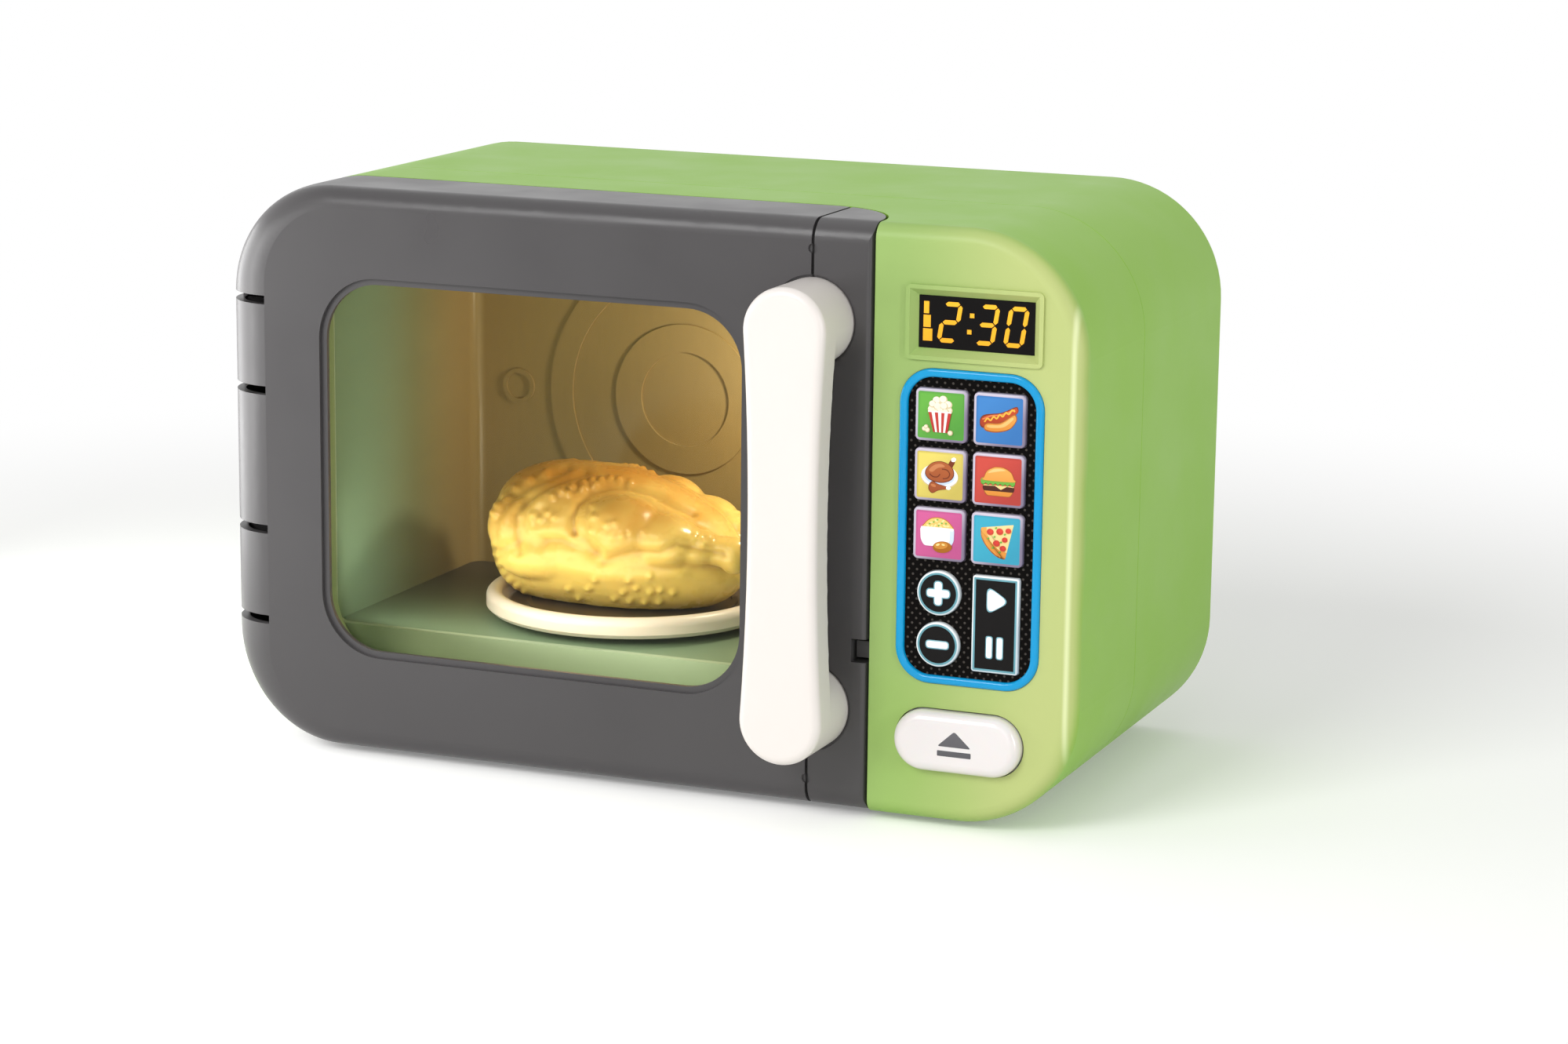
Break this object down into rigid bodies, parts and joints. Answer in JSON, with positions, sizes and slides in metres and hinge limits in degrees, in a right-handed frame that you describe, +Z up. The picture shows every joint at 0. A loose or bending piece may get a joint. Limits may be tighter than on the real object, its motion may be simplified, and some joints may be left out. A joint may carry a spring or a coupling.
{
  "type": "toy microwave oven",
  "caption": "Toy microwave oven with hinged windowed door, waisted handle, picture keypad, push button opener, turntable and toy roast chicken.",
  "frame": {"origin": "on the ground, under the middle of the whole toy's bounding box", "axes": "+X to the right seen from the front, the door faces -Y, +Z up"},
  "size_m": [0.27, 0.1564, 0.1704],
  "materials": {
    "green_shell": "satin injection-moulded ABS, bright yellow-green",
    "charcoal_plastic": "satin injection-moulded ABS, dark charcoal grey",
    "white_plastic": "polished injection-moulded ABS, white",
    "smoke_window": "clear polystyrene pane, lightly smoked",
    "oven_wall": "moulded plastic, sprayed amber brown towards the back",
    "display_black": "black smoked acrylic, polished",
    "amber_print": "amber printed digits",
    "blue_frame": "glossy moulded plastic, cyan blue",
    "black_plate": "black printed plate with fine dots",
    "key_green": "printed key cap, green",
    "key_blue": "printed key cap, blue",
    "key_yellow": "printed key cap, yellow",
    "key_red": "printed key cap, red",
    "key_pink": "printed key cap, pink",
    "key_cyan": "printed key cap, cyan",
    "control_black": "black key cap with white printed sign",
    "grey_rubber": "soft grey rubber",
    "board_green": "green solder mask on glass-fibre board",
    "chip_black": "black moulded chips",
    "natural_nylon": "natural nylon, self lubricating",
    "bracket_grey": "grey moulded plastic",
    "steel": "zinc plated steel",
    "motor_can": "drawn steel can",
    "pearl_plate": "pale pearl plastic plate, polished",
    "roast_skin": "glossy golden roast skin, moulded plastic",
    "lamp_amber": "translucent amber plastic",
    "lamp_body": "small warm lamp",
    "speaker_black": "black stamped basket",
    "speaker_paper": "pressed paper cone",
    "cell_jacket": "plain printed cell jacket",
    "contact_nickel": "nickel plated spring contact",
    "switch_black": "black switch"
  },
  "bodies": {
    "housing": {"housing_front": "green_shell", "housing_rear": "green_shell", "cavity_liner": "oven_wall", "cavity_floor_plate": "oven_wall", "liner_screws": "steel", "feet": "grey_rubber", "housing_screws": "steel", "display_lens": "display_black", "display_digits": "amber_print", "keypad_frame": "blue_frame", "keypad_plate": "black_plate", "keypad_mat": "grey_rubber", "circuit_board": "board_green", "board_parts": "chip_black", "panel_screws": "steel", "button_springs": "steel", "latch_spring": "steel", "button_bracket": "bracket_grey", "turntable_motor": "motor_can", "drive_bracket": "bracket_grey", "lamp_lens": "lamp_amber", "oven_lamp": "lamp_body", "speaker_frame": "speaker_black", "speaker_cone": "speaker_paper", "battery_box": "bracket_grey", "battery_contacts": "contact_nickel", "batteries": "cell_jacket", "switch_body": "switch_black"},
    "door": {"door_bezel": "charcoal_plastic", "door_end_cap": "charcoal_plastic", "door_inner_panel": "green_shell", "window_pane": "smoke_window", "door_handle": "white_plastic", "handle_screws": "steel", "door_screws": "steel", "hinge_pins": "steel"},
    "latch": {"latch_slider": "charcoal_plastic"},
    "opener": {"open_button": "white_plastic"},
    "turntable": {"turntable": "pearl_plate", "drive_gear": "natural_nylon"},
    "pinion": {"motor_pinion": "natural_nylon"},
    "chicken": {"roast_chicken": "roast_skin"},
    "battery_cover": {"battery_cover": "green_shell", "battery_cover_screw": "steel"},
    "power_switch": {"power_switch": "switch_black"},
    "key_popcorn": {"key_popcorn": "key_green"},
    "key_hotdog": {"key_hotdog": "key_blue"},
    "key_chicken": {"key_chicken": "key_yellow"},
    "key_burger": {"key_burger": "key_red"},
    "key_rice": {"key_rice": "key_pink"},
    "key_pizza": {"key_pizza": "key_cyan"},
    "key_plus": {"key_plus": "control_black"},
    "key_minus": {"key_minus": "control_black"},
    "key_play_pause": {"key_play_pause": "control_black"}
  },
  "joints": [
    {"name": "door_hinge", "type": "hinge", "parent": "housing", "child": "door", "pos_m": [-0.127, -0.03425, 0.0872], "axis": [0, 0, -1], "range_deg": [0, 90]},
    {"name": "open_button_press", "type": "slide", "parent": "housing", "child": "opener", "axis": [0, 1, 0], "range_m": [0, 0.0032], "stiffness_N_per_m": 250, "deforming": ["button_springs"]},
    {"name": "latch_slide", "type": "slide", "parent": "housing", "child": "latch", "axis": [1, 0, 0], "range_m": [0, 0.0048], "stiffness_N_per_m": 120, "deforming": ["latch_spring"]},
    {"name": "turntable_spin", "type": "hinge", "parent": "housing", "child": "turntable", "pos_m": [-0.035, 0.02225, 0.035], "axis": [0, 0, 1], "continuous": true},
    {"name": "pinion_spin", "type": "hinge", "parent": "housing", "child": "pinion", "pos_m": [-0.015, 0.02225, 0.024], "axis": [0, 0, 1], "continuous": true},
    {"name": "chicken_lift", "type": "slide", "parent": "turntable", "child": "chicken", "axis": [0, 0, 1], "range_m": [0, 0.03]},
    {"name": "battery_cover_off", "type": "slide", "parent": "housing", "child": "battery_cover", "axis": [0, 1, 0], "range_m": [0, 0.03]},
    {"name": "power_switch_slide", "type": "slide", "parent": "housing", "child": "power_switch", "axis": [1, 0, 0], "range_m": [0, 0.004]},
    {"name": "key_popcorn_press", "type": "slide", "parent": "housing", "child": "key_popcorn", "axis": [0, 1, 0], "range_m": [0, 0.0008], "stiffness_N_per_m": 400},
    {"name": "key_hotdog_press", "type": "slide", "parent": "housing", "child": "key_hotdog", "axis": [0, 1, 0], "range_m": [0, 0.0008], "stiffness_N_per_m": 400},
    {"name": "key_chicken_press", "type": "slide", "parent": "housing", "child": "key_chicken", "axis": [0, 1, 0], "range_m": [0, 0.0008], "stiffness_N_per_m": 400},
    {"name": "key_burger_press", "type": "slide", "parent": "housing", "child": "key_burger", "axis": [0, 1, 0], "range_m": [0, 0.0008], "stiffness_N_per_m": 400},
    {"name": "key_rice_press", "type": "slide", "parent": "housing", "child": "key_rice", "axis": [0, 1, 0], "range_m": [0, 0.0008], "stiffness_N_per_m": 400},
    {"name": "key_pizza_press", "type": "slide", "parent": "housing", "child": "key_pizza", "axis": [0, 1, 0], "range_m": [0, 0.0008], "stiffness_N_per_m": 400},
    {"name": "key_plus_press", "type": "slide", "parent": "housing", "child": "key_plus", "axis": [0, 1, 0], "range_m": [0, 0.0008], "stiffness_N_per_m": 400},
    {"name": "key_minus_press", "type": "slide", "parent": "housing", "child": "key_minus", "axis": [0, 1, 0], "range_m": [0, 0.0008], "stiffness_N_per_m": 400},
    {"name": "key_play_pause_press", "type": "slide", "parent": "housing", "child": "key_play_pause", "axis": [0, 1, 0], "range_m": [0, 0.0008], "stiffness_N_per_m": 400}
  ],
  "couplings": [
    {"joint": "pinion_spin", "follows": "turntable_spin", "ratio": -4},
    {"joint": "latch_slide", "follows": "open_button_press", "ratio": 1.5}
  ]
}
